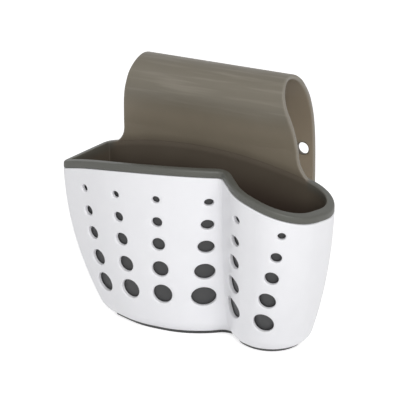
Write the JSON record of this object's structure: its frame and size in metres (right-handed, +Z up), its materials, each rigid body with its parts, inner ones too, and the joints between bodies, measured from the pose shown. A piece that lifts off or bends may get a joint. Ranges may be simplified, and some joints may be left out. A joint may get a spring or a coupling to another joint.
{
  "type": "faucet sponge holder",
  "caption": "Two-lobed sponge holder: a rigid perforated sleeve over a soft pocket liner whose back runs up into a broad strap that loops over a faucet and fastens behind.",
  "frame": {"origin": "middle of the whole object's box on the plane of the foot's underside", "axes": "+X along the holder from the large lobe to the small lobe, +Y from the lobed front to the flat back and strap flap, +Z up out of the pocket"},
  "size_m": [0.154, 0.0792, 0.1436],
  "materials": {
    "sleeve_white": "satin moulded",
    "liner_smoke": "smooth soft elastomer",
    "strap_smoke": "smooth soft elastomer"
  },
  "bodies": {
    "sleeve": {"outer_shell": "sleeve_white"},
    "liner": {"liner": "liner_smoke"},
    "flap": {"strap_flap": "strap_smoke"}
  },
  "joints": [
    {"name": "liner_lift", "type": "slide", "parent": "sleeve", "child": "liner", "axis": [0, 0, 1], "range_m": [0, 0.1]},
    {"name": "flap_bend", "type": "hinge", "parent": "liner", "child": "flap", "pos_m": [-0.00463, 0.01499, 0.1436], "axis": [1, 0, 0], "range_deg": [-14, 60], "stiffness_Nm_per_rad": 0.2}
  ]
}
